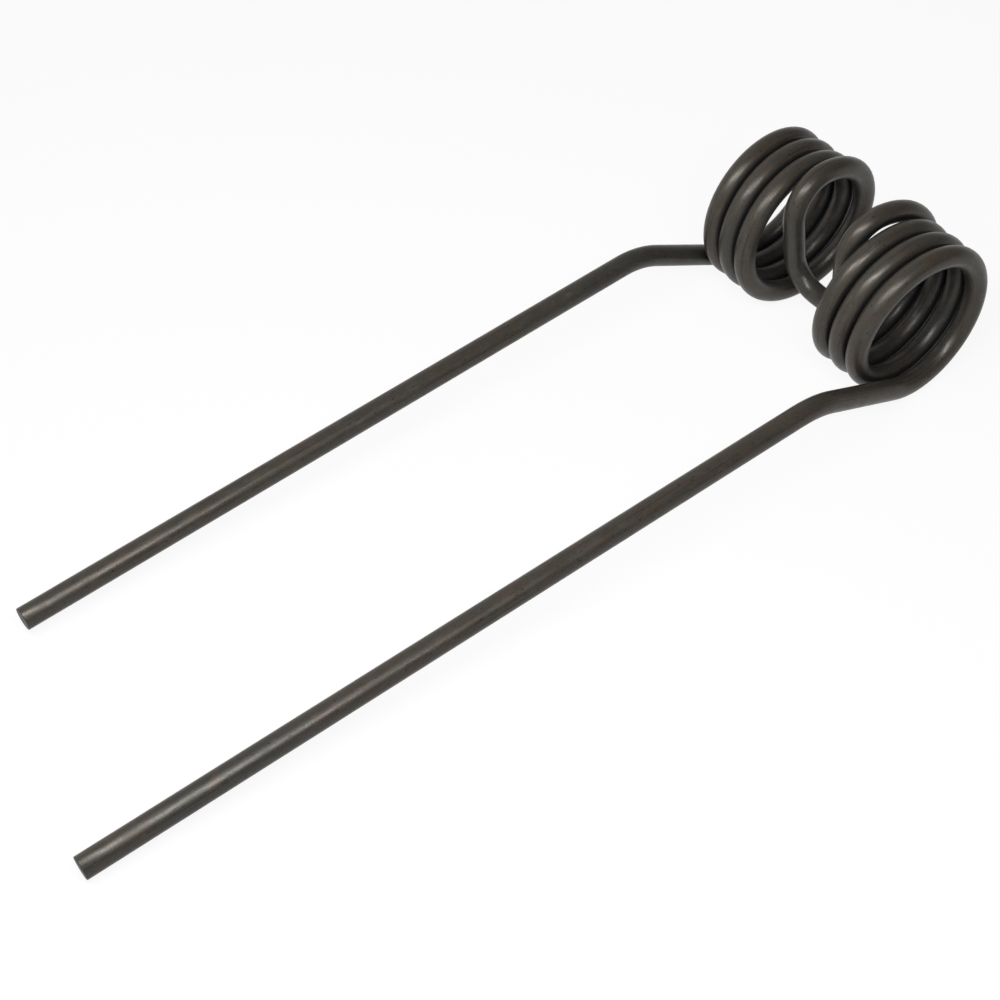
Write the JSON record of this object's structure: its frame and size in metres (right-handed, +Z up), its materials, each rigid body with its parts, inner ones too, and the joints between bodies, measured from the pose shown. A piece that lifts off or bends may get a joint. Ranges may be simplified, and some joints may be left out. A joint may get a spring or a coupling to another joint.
{
  "type": "tedder tine",
  "caption": "Double-coil spring tine for a hay tedder: long straight wire arms with a bend near the coils, joined by a U-shaped link for bolting on.",
  "frame": {"origin": "on the common axis of the coils, midway between them", "axes": "+X along the coils' axis towards the longer arm's side, the arms point to -Y, +Z up as the tine lies on a flat surface"},
  "size_m": [0.1229, 0.4424, 0.0762],
  "materials": {
    "spring_steel": "dark, oil-tempered, lightly oiled"
  },
  "bodies": {
    "root": {"tine": "spring_steel"}
  },
  "joints": []
}
